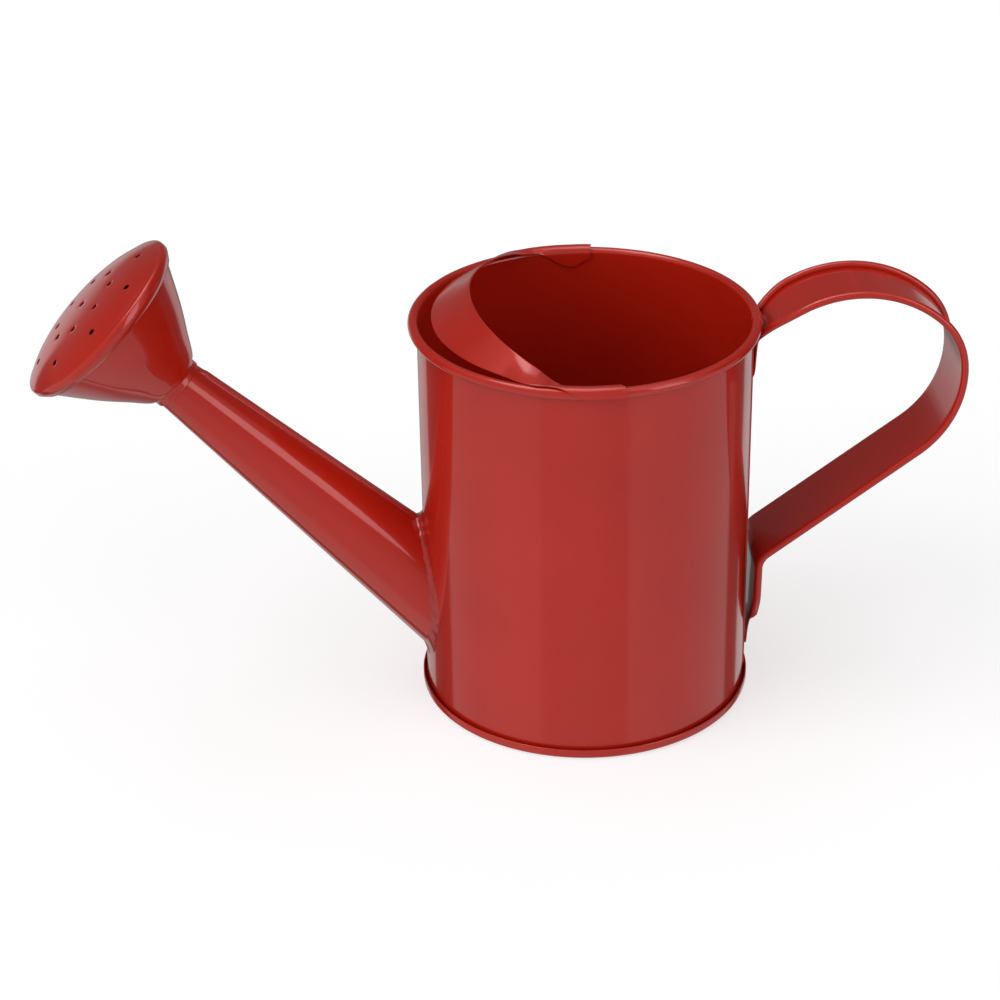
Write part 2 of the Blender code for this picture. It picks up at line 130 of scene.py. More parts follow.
# Handle strap: start, heading, then (length) or (radius, turn) from foot to top
STRAP_START = (41.15 * MM, 6.3 * MM)
STRAP_HEADING = math.radians(89.0)
STRAP_BENDS = (
    (26.3 * MM, 0.0),
    (5.5 * MM, -52.9),
    (44.7 * MM, 0.0),
    (24.7 * MM, 58.4),
    (17.5 * MM, 42.6),
    (29.2 * MM, 90.4),
    (2.2 * MM, 0.0),
    (2.8 * MM, 40.9),
    (10.5 * MM, 0.0),
)
STRAP_SHEET = 0.45 * MM
STRAP_FLAT = (9.6 * MM, 9.0 * MM)
STRAP_CURL = 0.70 * MM
STRAP_CURL_TURN = math.radians(300.0)
TAB_PLAIN = (8.6 * MM, 11.5 * MM)
TAB_TAPER = (19.0 * MM, 24.0 * MM)
TAB_HALF_WIDTH = 4.2 * MM
CURL_GROWTH = 5.0 * MM
TAB_PRESS = 0.40 * MM  # how much nearer the wall the tabs are than in the CAD
TAB_PRESS_FULL, TAB_PRESS_END = 3.0 * MM, 12.0 * MM

# Linear colours
RED_DEEP = (0.45, 0.0125, 0.0040)
RED_BRIGHT = (0.51, 0.0150, 0.0050)
RED_WORN = (0.58, 0.038, 0.022)
SOLDER_DEEP = (0.30, 0.006, 0.002)
SOLDER_BRIGHT = (0.50, 0.014, 0.006)

# Camera and studio
VIEW_TURN = math.radians(-6.0)  # the camera's azimuth from the object's -Y
CAMERA_PLACE = (-0.0600, -0.57125, 0.3583)
CAMERA_PITCH = math.radians(61.7)
CAMERA_LENS = 95.35
CAMERA_SHIFT = -0.085


# --- Mesh helpers ------------------------------------------------------------------------------


def smooth_step(value, start, end):
    """0 before start, 1 after end, and a smooth rise between them."""
    t = min(max((value - start) / (end - start), 0.0), 1.0)
    return t * t * (3.0 - 2.0 * t)


def wobble(point, size, amount):
    """A smooth random offset, whose features are about size across."""
    return amount * noise.noise(Vector(point) / size)


def smooth_line(points, per_span):
    """Catmull-Rom curve through 2-D points."""
    p = np.asarray(points, float)
    p = np.vstack([2 * p[0] - p[1], p, 2 * p[-1] - p[-2]])
    line = []
    for i in range(1, len(p) - 2):
        for t in np.arange(per_span) / per_span:
            a = 2 * p[i]
            b = p[i + 1] - p[i - 1]
            c = 2 * p[i - 1] - 5 * p[i] + 4 * p[i + 1] - p[i + 2]
            d = 3 * p[i] - p[i - 1] - 3 * p[i + 1] + p[i + 2]
            line.append((a + b * t + c * t**2 + d * t**3) / 2)
    line.append(p[-2])
    return np.array(line)


def arc(centre, radius, start, end, count):
    """Points on an arc, angles in degrees."""
    angles = np.radians(np.linspace(start, end, count))
    return [(centre[0] + radius * math.cos(a), centre[1] + radius * math.sin(a)) for a in angles]


def sheet_loop(line, thickness, round_start=True, round_end=True, ends=5):
    """Closed outline of a sheet round its 2-D middle line, with half-round edges."""
    line = np.asarray(line, float)
    step = np.diff(line, axis=0)
    step /= np.linalg.norm(step, axis=1)[:, None]
    along = np.vstack([step[:1], step[:-1] + step[1:], step[-1:]])
    along /= np.linalg.norm(along, axis=1)[:, None]
    half_turn = np.sqrt(np.clip((1 + (step[:-1] * step[1:]).sum(1)) / 2, 0.5, 1.0))
    reach = thickness / 2 / np.concatenate([[1.0], half_turn, [1.0]])
    side = np.column_stack([-along[:, 1], along[:, 0]]) * reach[:, None]
    turns = np.radians(np.linspace(90.0, -90.0, ends + 2))[1:-1]
    caps = []
    for centre, way in ((line[-1], along[-1]), (line[0], -along[0])):
        across = np.array([-way[1], way[0]])
        caps.append([centre + thickness / 2 * (math.cos(t) * way + math.sin(t) * across) for t in turns])
    loop = list(line + side)
    loop += caps[0] if round_end else []
    loop += list((line - side)[::-1])
    loop += caps[1] if round_start else []
    return np.array(loop)


def new_object(name, data):
    """A new object in the scene's collection."""
    obj = bpy.data.objects.new(name, data)
    bpy.context.scene.collection.objects.link(obj)
    return obj


def mesh_from(name, bm):
    """A mesh made from a bmesh, which is freed."""
    mesh = bpy.data.meshes.new(name)
    bm.to_mesh(mesh)
    bm.free()
    return mesh


def mesh_object(name, vertices, faces, material, smooth_angle=40.0, weld=0.0):
    """A piece from lists of vertices and faces, its faces turned outwards."""
    mesh = bpy.data.meshes.new(name)
    mesh.from_pydata([tuple(v) for v in vertices], [], faces)
    bm = bmesh.new()
    bm.from_mesh(mesh)
    if weld > 0.0:
        bmesh.ops.remove_doubles(bm, verts=bm.verts, dist=weld)
    bmesh.ops.recalc_face_normals(bm, faces=bm.faces)
    bm.to_mesh(mesh)
    bm.free()
    mesh.shade_smooth()
    mesh.set_sharp_from_angle(angle=math.radians(smooth_angle))
    mesh.materials.append(material)
    return new_object(name, mesh)


def loft(name, sections, material, closed=False, smooth_angle=40.0, weld=0.0):
    """Joins closed sections of equal length. An open loft is capped at both ends."""
    rows, columns = len(sections), len(sections[0])
    faces = []
    for i in range(rows if closed else rows - 1):
        for j in range(columns):
            a, b = i * columns, (i + 1) % rows * columns
            k = (j + 1) % columns
            faces.append((a + j, a + k, b + k, b + j))
    if not closed:
        faces.append(tuple(range(columns))[::-1])
        faces.append(tuple((rows - 1) * columns + j for j in range(columns)))
    vertices = [point for section in sections for point in section]
    return mesh_object(name, vertices, faces, material, smooth_angle, weld)


def lathe(name, loop, angles, material, place=None, warp=None, weld=0.0):
    """Turns a closed (r, z) outline about Z. warp(r, z, angle) gives the changed (r, z)."""
    sections = []
    for angle in angles:
        section = []
        for r, z in loop:
            if warp:
                r, z = warp(r, z, angle)
            point = Vector((r * math.cos(angle), r * math.sin(angle), z))
            section.append(place @ point if place else point)
        sections.append(section)
    return loft(name, sections, material, closed=True, weld=weld)


def even_angles(count):
    """Angles of count places spread evenly round a turn, from 0."""
    return list(np.linspace(0.0, 2 * math.pi, count, endpoint=False))


def frame_along(origin, direction):
    """A matrix at origin whose Z axis lies along direction, and whose Y axis is the world's."""
    z_axis = Vector(direction).normalized()
    y_axis = Vector((0.0, 1.0, 0.0))
    x_axis = y_axis.cross(z_axis)
    rotation = Matrix((x_axis, y_axis, z_axis)).transposed().to_4x4()
    return Matrix.Translation(Vector(origin)) @ rotation


def applied(obj):
    """Replaces the mesh by what its modifiers make of it."""
    graph = bpy.context.evaluated_depsgraph_get()
    mesh = bpy.data.meshes.new_from_object(obj.evaluated_get(graph))
    obj.modifiers.clear()
    obj.data = mesh
    return obj


def place_piece(obj, body, slot, *nodes):
    """Puts a piece on its body, in place of its CAD nodes. The slot argument is not used."""
    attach(obj, body)
    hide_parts(*nodes)


# --- Materials ---------------------------------------------------------------------------------


class Nodes:
    """Small helper that adds and links nodes of one tree."""

    def __init__(self, tree):
        self.tree = tree

    def add(self, kind, **inputs):
        node = self.tree.nodes.new(kind)
        for key, value in inputs.items():
            self.put(node, key.replace("_", " "), value)
        return node

    def put(self, node, socket, value):
        socket = node.inputs[int(socket) if socket.isdigit() else socket]
        if isinstance(value, bpy.types.NodeSocket):
            self.tree.links.new(value, socket)
        else:
            socket.default_value = value

    def math(self, operation, a, b=0.0):
        node = self.tree.nodes.new("ShaderNodeMath")
        node.operation = operation
        self.put(node, "0", a)
        self.put(node, "1", b)
        return node.outputs[0]

    def ramp(self, factor, stops):
        node = self.tree.nodes.new("ShaderNodeValToRGB")
        ramp = node.color_ramp
        while len(ramp.elements) < len(stops):
            ramp.elements.new(1.0)
        for element, (position, colour) in zip(ramp.elements, stops):
            element.position = position
            grey = isinstance(colour, (int, float))
            element.color = (colour, colour, colour, 1.0) if grey else (*colour, 1.0)
        self.put(node, "Fac", factor)
        return node.outputs["Color"]

    def noise(self, where, size, detail=3.0, roughness=0.5):
        """Noise whose features are about size across, in metres."""
        scale = 1.0 / size
        node = self.add(
            "ShaderNodeTexNoise", Vector=where, Scale=scale, Detail=detail, Roughness=roughness
        )
        return node.outputs["Fac"]

    def mix(self, factor, a, b):
        node = self.tree.nodes.new("ShaderNodeMix")
        node.data_type = "RGBA"
        self.put(node, "0", factor)
        for socket, value in (("6", a), ("7", b)):
            linked = isinstance(value, bpy.types.NodeSocket)
            self.put(node, socket, value if linked else (*value, 1.0))
        return node.outputs[2]

    def between(self, factor, low, high):
        """Maps 0..1 onto low..high."""
        node = self.add("ShaderNodeMapRange", Value=factor)
        node.inputs["To Min"].default_value = low
        node.inputs["To Max"].default_value = high
        return node.outputs["Result"]


def new_material(name):
    """A node material: itself, its nodes, its shader and the object coordinates."""
    material = bpy.data.materials.new(name)
    material.use_nodes = True
    nodes = Nodes(material.node_tree)
    shader = material.node_tree.nodes["Principled BSDF"]
    where = nodes.add("ShaderNodeTexCoord").outputs["Object"]
    return material, nodes, shader, where


def enamel(name, deep, bright, worn):
    """Glossy red lacquer on tin plate: fine flake, orange peel, faint smears, thin paint on edges."""
    material, nodes, shader, where = new_material(name)
    clouds = nodes.noise(where, 28 * MM, 4.0, 0.55)
    body = nodes.mix(nodes.ramp(clouds, ((0.30, 0.0), (0.72, 1.0))), deep, bright)
    flakes = nodes.ramp(nodes.noise(where, 0.25 * MM, 1.0), ((0.55, 0.0), (0.8, 1.0)))
    flaked = nodes.mix(nodes.between(flakes, 0.0, 0.15), body, worn)
    convex = nodes.add("ShaderNodeNewGeometry").outputs["Pointiness"]
    edge = nodes.ramp(convex, ((0.515, 0.0), (0.60, 1.0)))
    patchy = nodes.ramp(nodes.noise(where, 3.0 * MM, 3.0), ((0.42, 0.0), (0.66, 1.0)))
    wear = nodes.math("MULTIPLY", nodes.math("MULTIPLY", edge, patchy), 0.30)
    nodes.put(shader, "Base Color", nodes.mix(wear, flaked, worn))
    smears = nodes.noise(where, 11 * MM, 5.0, 0.6)
    nodes.put(shader, "Roughness", nodes.between(smears, 0.26, 0.40))
    shader.inputs["Metallic"].default_value = 0.15
    shader.inputs["Specular IOR Level"].default_value = 0.20
    shader.inputs["Coat Weight"].default_value = 0.85
    shader.inputs["Coat Roughness"].default_value = 0.04
    shader.inputs["Coat IOR"].default_value = 1.5
    peeled = nodes.noise(where, 1.3 * MM, 2.0, 0.45)
    ripples = nodes.noise(where, 9.0 * MM, 1.0)
    height = nodes.math("ADD", peeled, nodes.math("MULTIPLY", ripples, 3.0))
    bump = nodes.add("ShaderNodeBump", Strength=0.5, Distance=0.004 * MM, Height=height)
    nodes.put(shader, "Normal", bump.outputs["Normal"])
    nodes.put(shader, "Coat Normal", bump.outputs["Normal"])
    return material


def painted_solder():
    """Lacquer run thick over lumpy solder."""
    material, nodes, shader, where = new_material("painted_solder")
    lumps = nodes.noise(where, 2.2 * MM, 4.0, 0.6)
    thick = nodes.ramp(lumps, ((0.3, 0.0), (0.7, 1.0)))
    nodes.put(shader, "Base Color", nodes.mix(thick, SOLDER_DEEP, SOLDER_BRIGHT))
    nodes.put(shader, "Roughness", nodes.between(nodes.noise(where, 1.0 * MM, 3.0), 0.25, 0.45))
    shader.inputs["Metallic"].default_value = 0.3
    shader.inputs["Coat Weight"].default_value = 0.7
    shader.inputs["Coat Roughness"].default_value = 0.12
    bump = nodes.add("ShaderNodeBump", Strength=0.6, Distance=0.15 * MM, Height=lumps)
    nodes.put(shader, "Normal", bump.outputs["Normal"])
    return material


# --- Can ---------------------------------------------------------------------------------------


def lap(angle, spread):
    """How much of the lap's step there is: 1 at the sheet's free edge, 0 where it has faded out."""
    past = (angle - SIDE_SEAM) % (2 * math.pi)
    return 1.0 - smooth_step(past, 0.0, spread)


def wall_warp(r, z, angle):
    """The lap of the side seam on the outside, and the step it makes in the rolled rim."""
    if z > BEAD_HEIGHT - BEAD_TUBE - 0.3 * MM and r > CAN_INNER + 0.05 * MM:
        grow = 1.0 + 0.16 * lap(angle, RIM_LAP_ANGLE)
        grow += 0.012 * noise.noise(Vector((6 * math.cos(angle), 6 * math.sin(angle), 3.0)))
        return BEAD_RADIUS + (r - BEAD_RADIUS) * grow, BEAD_HEIGHT + (z - BEAD_HEIGHT) * grow
    if r > CAN_RADIUS - 0.1 * MM:
        r += LAP_STEP * lap(angle, LAP_ANGLE) * smooth_step(z, 2.8 * MM, 3.6 * MM)
    around = Vector((2.2 * math.cos(angle), 2.2 * math.sin(angle), z / (30 * MM)))
    dent = 0.035 * MM * noise.noise(around)
    above_foot = smooth_step(z, 4 * MM, 12 * MM)
    below_rim = 1.0 - smooth_step(z, 88 * MM, 95 * MM)
    return r + dent * above_foot * below_rim, z


def keep_round(mesh):
    """Gives the wall near its hole a cylinder's normals, so that the cut doesn't spoil the shading."""
    normals = []
    for polygon in mesh.polygons:
        for index in polygon.loop_indices:
            place = mesh.vertices[mesh.loops[index].vertex_index].co
            radial = Vector((place.x, place.y, 0.0)).normalized()
            facing = polygon.normal.dot(radial)
            near_hole = place.x < -0.80 * CAN_RADIUS and 10 * MM < place.z < 52 * MM
            if near_hole and abs(facing) > 0.97:
                normals.append(radial if facing > 0 else -radial)
            else:
                normals.append(mesh.corner_normals[index].vector.copy())
    mesh.normals_split_custom_set(normals)


def from_side_seam(angle):
    """Signed angle from the side seam."""
    return (angle - SIDE_SEAM + math.pi) % (2 * math.pi) - math.pi


def cut_spout_hole(wall):
    """Cuts the hole under the spout's foot."""
    bm = bmesh.new()
    size = SPOUT_HOLE_RADIUS
    bmesh.ops.create_cone(bm, cap_ends=True, segments=96, depth=30 * MM, radius1=size, radius2=size)
    cutter = new_object("spout_hole_cutter", mesh_from("spout_hole_cutter", bm))
    cutter.matrix_world = spout_frame()
    hole = wall.modifiers.new("Spout hole", "BOOLEAN")
    hole.operation = "DIFFERENCE"
    hole.solver = "EXACT"
    hole.object = cutter
    applied(wall)
    bpy.data.objects.remove(cutter, do_unlink=True)


def make_can_wall(material):
    """The rolled cylinder, its top edge curled outwards into the rim bead."""
    middle = CAN_INNER + SHEET / 2
    line = [(middle, z) for z in np.linspace(WALL_FOOT, BEAD_HEIGHT, 30)]
    line += arc((BEAD_RADIUS, BEAD_HEIGHT), BEAD_TUBE - SHEET / 2, 180.0, -128.0, 26)[1:]
    angles = [a for a in even_angles(288) if abs(from_side_seam(a)) > 0.004]
    seam = SIDE_SEAM % (2 * math.pi)
    angles = sorted(angles + [seam - 0.0012, seam + 0.0002])
    wall = lathe("can_shell", sheet_loop(line, SHEET), angles, material, warp=wall_warp)
    cut_spout_hole(wall)
    keep_round(wall.data)
    return wall


def make_base_pan(material):
    """The pressed bottom: a raised panel with a standing rim, its edge turned up round the wall."""
    low = SHEET / 2
    raised = low + 0.30 * MM
    side = PAN_RADIUS - 0.20 * MM
    line = [(r * MM, raised) for r in (0.0, 10.0, 22.0, 31.0)]
    line += [(32.0 * MM, raised - 0.05 * MM), (33.0 * MM, low + 0.05 * MM)]
    line += [(34.0 * MM, low), (37.0 * MM, low)]
    line += arc((side - 0.7 * MM, low + 0.7 * MM), 0.7 * MM, -90.0, 0.0, 7)
    line += [(side, PAN_HEIGHT * 0.6), (side, PAN_HEIGHT - 0.20 * MM)]
    loop = sheet_loop(line, SHEET, round_start=False)
    loop[:, 0] = np.clip(loop[:, 0], 0.0, None)
    return lathe("base_panel", loop, even_angles(192), material, weld=0.5e-6)


def make_base_seal(material):
    """An uneven fillet of solder inside, between the wall and the pan."""
    low, leg = SHEET + GAP + 0.35 * MM, 1.5 * MM
    edge = CAN_INNER - 0.12 * MM

    def lumpy(r, z, angle):
        """Swells the fillet's free side."""
        swell = 0.35 * MM * noise.noise(Vector((9 * math.cos(angle), 9 * math.sin(angle), 0.0)))
        far = (edge - r) / leg
        return r - swell * far, z + swell * (z - low) / leg

    loop = [(edge, low)]
    for t in np.radians((0, 18, 36, 54, 72, 90)):
        loop.append((edge - leg * (1 - math.sin(t)), low + leg * (1 - math.cos(t))))
    return lathe("base_fillet", loop, even_angles(144), material, warp=lumpy)


# --- Splash guard ------------------------------------------------------------------------------


def radius_on_circle(angle, centre, radius):
    """Distance from the can's axis to a circle about a centre that lies off it."""
    return centre * math.cos(angle) + math.sqrt(radius**2 - (centre * math.sin(angle)) ** 2)


def guard_edges(angle):
    """The free edge and the lower edge as (r, z) points, before the ends are folded."""
    hang_r = BEAD_RADIUS - BEAD_TUBE - GAP - GUARD_SHEET / 2
    free_r = min(radius_on_circle(angle, GUARD_TOP_CENTRE, GUARD_TOP_RADIUS), hang_r)
    standing = GUARD_TOP_HEIGHT + GUARD_TOP_TILT * (free_r * math.cos(angle) - 9.0 * MM)
    hang = smooth_step(angle, GUARD_HANG_START, GUARD_HANG_FULL)
    lift = smooth_step(angle, GUARD_LIFT_START, GUARD_LIFT_FULL)
    hanging = BEAD_HEIGHT + 1.1 * MM - (1.1 * MM + GUARD_HANG) * hang + 2.2 * MM * lift
    over = smooth_step(angle, GUARD_OVER_START, GUARD_OVER_FULL)
    low_r = min(radius_on_circle(angle, GUARD_LOW_CENTRE, GUARD_LOW_RADIUS), hang_r)
    return (free_r, standing + (hanging - standing) * over), (low_r, GUARD_LOW_HEIGHT)


def guard_line(angle, count):
    """Middle line across the sheet at one angle, from the lower or folded edge to the free edge."""
    wrap = BEAD_TUBE + GAP + GUARD_SHEET / 2
    free, low = guard_edges(angle)
    dr, dz = free[0] - BEAD_RADIUS, free[1] - BEAD_HEIGHT
    leaving = math.acos(min(wrap / math.hypot(dr, dz), 1.0))
    tangent = math.degrees(math.atan2(dz, dr) % (2 * math.pi) - leaving)
    fold = smooth_step(angle, GUARD_FOLD_START, GUARD_FOLD_FULL)
    rest = smooth_step(angle, GUARD_REST_START, GUARD_FOLD_START)
    folded = arc((BEAD_RADIUS, BEAD_HEIGHT), wrap, tangent + (-12.0 - tangent) * fold, tangent, count)
    foot = [l + (f - l) * rest for l, f in zip(low, folded[0])]
    path = np.array([*folded, free] if fold > 0.0 else [foot, free])
    lengths = np.concatenate([[0.0], np.cumsum(np.linalg.norm(np.diff(path, axis=0), axis=1))])
    along = np.linspace(0.0, lengths[-1], count)
    return np.column_stack([np.interp(along, lengths, path[:, k]) for k in (0, 1)])


def make_splash_guard(material):
    """The ends are cut by hand, so they run unevenly, the front one with a torn corner."""
    sections = []
    torn = (0.0, 0.010, 0.022, 0.002, -0.012, 0.004, 0.0)
    for angle in np.linspace(GUARD_BACK, GUARD_FRONT, 193):
        loop = sheet_loop(guard_line(abs(angle), 30), GUARD_SHEET)
        near_end = smooth_step(angle, GUARD_FRONT - math.radians(3.0), GUARD_FRONT)
        section = []
        for k, (r, z) in enumerate(loop):
            share = min(k, len(loop) - k) / (len(loop) / 2)
            turned = angle + near_end * float(np.interp(share * 6, range(7), torn))
            z += wobble((r * math.cos(angle), r * math.sin(angle), 0.0), 7 * MM, 0.10 * MM)
            section.append((-r * math.cos(turned), -r * math.sin(turned), z))
        sections.append(section)
    return loft("guard_sheet", sections, material, smooth_angle=50.0)


# --- Spout -------------------------------------------------------------------------------------


def spout_direction():
    """Along the spout's axis, from the wall outwards."""
    return Vector((-math.cos(SPOUT_RISE), 0.0, math.sin(SPOUT_RISE)))


def spout_frame():
    """The spout's own frame: origin on the can's wall, Z along the spout."""
    return frame_along((-CAN_RADIUS, 0.0, SPOUT_HEIGHT), spout_direction())


def spout_radius(along):
    """Outer radius of the cone at a distance along its axis."""
    return SPOUT_FOOT_RADIUS + (SPOUT_TIP_RADIUS - SPOUT_FOOT_RADIUS) * along / SPOUT_LENGTH


def foot_along(angle, grow, clear=CAN_RADIUS + GAP / 2):
    """How far along the spout's axis one of its lines, moved outwards by grow, leaves the wall."""
    place = spout_frame()
    low, high = -30.0 * MM, 60.0 * MM
    for _ in range(40):
        middle = (low + high) / 2
        radius = spout_radius(middle) + grow
        point = place @ Vector((radius * math.cos(angle), radius * math.sin(angle), middle))
        if math.hypot(point.x, point.y) < clear:
            low = middle
        else:
            high = middle
    return high


def seam_height(across):
    """The folded seam on the spout's top: step and groove on the near side, a slope on the far one."""
    near, far = -1.25 * MM, 1.35 * MM
    rise = smooth_step(across, near, near + 0.22 * MM) * (1.0 - smooth_step(across, far - 0.5 * MM, far))
    groove = math.exp(-(((across - near + 0.16 * MM) / (0.13 * MM)) ** 2))
    return 0.40 * MM * rise - 0.16 * MM * groove


def spout_columns():
    """Places round the spout: (arc length from the top line, None) in the seam, else (None, share)."""
    near = [-2.4, -1.9, -1.62, -1.5, -1.41, -1.32, -1.25, -1.18, -1.10, -1.02, -0.8, -0.4]
    far = [0.0, 0.4, 0.75, 0.9, 1.05, 1.2, 1.35, 1.6, 2.4]
    columns = [(s * MM, None) for s in near + far]
    columns += [(None, share) for share in np.linspace(0.0, 1.0, 110)[1:-1]]
    return columns


def column_angle(across, share, radius):
    """Angle of one of those places where the spout has this radius."""
    if share is None:
        return across / radius
    edge = SEAM_EDGE / radius
    return edge + share * 2 * (math.pi - edge)


def make_spout(material):
    """The rolled cone, cut at its foot to follow the can's wall."""
    place = spout_frame()
    sections = []
    for across, share in spout_columns():
        outline = []
        for side in (0.0, -SHEET):
            start = foot_along(column_angle(across, share, spout_radius(0.0) + side), side)
            lengths = start + (SPOUT_LENGTH - start) * np.linspace(0.0, 1.0, 48)
            row = []
            for along in lengths:
                radius = spout_radius(along)
                angle = column_angle(across, share, radius)
                raised = 0.0
                if side == 0.0 and share is None:
                    fading = smooth_step(along, SEAM_END - 1.0 * MM, SEAM_END)
                    raised = seam_height(across) * (1.0 - fading)
                radius += side + raised
                row.append(place @ Vector((radius * math.cos(angle), radius * math.sin(angle), along)))
            outline.append(row)
        sections.append(outline[0] + outline[1][::-1])
    return loft("spout_sheet", sections, material, closed=True, smooth_angle=35.0)


def make_spout_solder(material):
    """A hand-run fillet of solder: uneven legs and lumps, thickest at the top of the joint."""
    place = spout_frame()
    clear = -0.04 * MM
    sections = []
    for angle in even_angles(180):
        direction = Vector((math.cos(angle), math.sin(angle), 0.0))
        uneven = 1.0 + 0.45 * noise.noise(direction * 3.1) + 0.30 * noise.noise(direction * 9.0)
        top = 0.35 * math.exp(-((math.remainder(angle, 2 * math.pi) / 0.6) ** 2))
        leg = SOLDER_LEG * (uneven + top)
        corner = foot_along(angle, clear, CAN_RADIUS + clear)
        far = leg * (1.0 + 0.25 * noise.noise(direction * 5.0 + Vector((7.0, 0.0, 0.0))))
        points = [(clear, corner)]
        wide_along = foot_along(angle, clear + far, CAN_RADIUS + clear)
        for share in np.linspace(0.0, 1.0, 8):
            base = corner + (wide_along - corner) * (1.0 - share) ** 1.3
            points.append((clear + far * (1.0 - share) ** 1.3, base + leg * share**1.3))
        section = []
        for grow, along in points:
            radius = spout_radius(along) + grow
            section.append(place @ Vector((radius * math.cos(angle), radius * math.sin(angle), along)))
        sections.append(section)
    return loft("spout_fillet", sections, material, closed=True, smooth_angle=60.0)


# --- Rose --------------------------------------------------------------------------------------


def rose_frame():
    """The rose's own frame: origin at the spout's tip, Z along the rose."""
    direction = Vector((-math.cos(ROSE_RISE), 0.0, math.sin(ROSE_RISE)))
    tip = Vector((-CAN_RADIUS, 0.0, SPOUT_HEIGHT)) + spout_direction() * SPOUT_LENGTH
    return frame_along(tip, direction)


def funnel_radius(along):
    """Outer radius of the rose's plain cone at a distance along its axis."""
    return FUNNEL_BASE_RADIUS + FUNNEL_SLOPE * along


def make_rose_funnel(material):
    """Neck, rounded shoulder and slightly swelling cone."""
    half = SHEET / 2
    end = FUNNEL_END
    neck = NECK_RADIUS - half
    middle = 12.0 * MM
    curve = smooth_line(
        [
            (neck + 0.02 * MM, 0.25 * MM),
            (neck + 0.35 * MM, 0.75 * MM),
            (neck + 1.25 * MM, 1.40 * MM),
            (funnel_radius(3.4 * MM) - 0.62 * MM, 2.75 * MM),
            (funnel_radius(5.5 * MM) - half + 0.1 * MM, 5.5 * MM),
            (funnel_radius(middle) - half + FUNNEL_SWELL, middle),
            (funnel_radius(end) - half, end),
        ],
        7,
    )
    line = [(neck, -NECK_OVERLAP + half), (neck, -0.5 * MM), (neck, 0.0), *curve]
    return lathe("rose_cone", sheet_loop(line, SHEET), even_angles(ROSE_TURNS), material, rose_frame())


def dome_height(radius):
    """Height of the dome over the start of the face, flatter in the middle than a sphere."""
    share = radius / FACE_DOME_RADIUS
    return FACE_SHOULDER + (FACE_CROWN - FACE_SHOULDER) * (1.0 - (share**2 + share**4) / 2)


def edge_line(border):
    """Outer meridian from the drilled part of the dome, over the tight edge, to the end of the skirt."""
    line = [(r, FACE_START + dome_height(r)) for r in np.linspace(border, 21.95 * MM, 4)]
    line += arc((22.05 * MM, FACE_START + 1.22 * MM), 0.80 * MM, 62.0, 4.0, 9)
    skirt_end = FACE_START - FACE_SKIRT
    skirt_r = funnel_radius(skirt_end) + GAP / 0.8 + SHEET
    line += [(FACE_RADIUS, FACE_START + 0.5 * MM), (FACE_RADIUS - 0.06 * MM, FACE_START)]
    line += [((FACE_RADIUS + skirt_r) / 2, (FACE_START + skirt_end) / 2), (skirt_r, skirt_end)]
    return np.array(line)


def hole_centres():
    """Plan positions of the holes, ring by ring."""
    centres = []
    for radius, count, first in HOLE_RINGS:
        for k in range(count):
            angle = math.radians(first + 360.0 * k / count)
            centres.append((-radius * math.sin(angle), radius * math.cos(angle)))
    return centres


def dome_layout(border, count):
    """Plan of the drilled part of the face: points and triangles, with the holes left open."""
    centres = hole_centres()
    points = [(border * math.cos(a), border * math.sin(a)) for a in even_angles(count)]
    edges = [(i, (i + 1) % count) for i in range(count)]
    for x, y in centres:
        for grow in (0.0, 0.12 * MM, 0.30 * MM, 0.60 * MM):
            radius = HOLE_RADIUS + grow
            first = len(points)
            points += [(x + radius * math.cos(a), y + radius * math.sin(a)) for a in even_angles(20)]
            edges += [(first + i, first + (i + 1) % 20) for i in range(20)] if grow == 0.0 else []
    for radius in np.arange(1.2 * MM, border - 0.5 * MM, 1.2 * MM):
        for a in even_angles(max(6, round(2 * math.pi * radius / (1.2 * MM)))):
            spot = (radius * math.cos(a), radius * math.sin(a))
            if min(math.dist(spot, centre) for centre in centres) > HOLE_RADIUS + 1.0 * MM:
                points.append(spot)
    made = geometry.delaunay_2d_cdt([Vector(p) for p in points], edges, [], 0, 1e-9)
    plan = [tuple(v) for v in made[0]]
    triangles = []
    for face in made[2]:
        middle = np.mean([plan[i] for i in face], axis=0)
        if min(math.dist(middle, centre) for centre in centres) > 0.97 * HOLE_RADIUS:
            triangles.append(tuple(face))
    return plan, triangles, centres


def hole_edge(x, y, centres):
    """How far the punch drew the sheet in near the nearest hole, and how thin the sheet is there."""
    near = min(math.dist((x, y), centre) for centre in centres) - HOLE_RADIUS
    fade = math.exp(-((near / (0.28 * MM)) ** 2))
    return 0.10 * MM * fade, SHEET * (1.0 - 0.75 * fade)


def ring_of(plan, centre, radius):
    """Indices of the plan's points on a circle, in order round it."""
    found = [i for i, p in enumerate(plan) if abs(math.dist(p, centre) - radius) < 1e-7]
    return sorted(found, key=lambda i: math.atan2(plan[i][1] - centre[1], plan[i][0] - centre[0]))


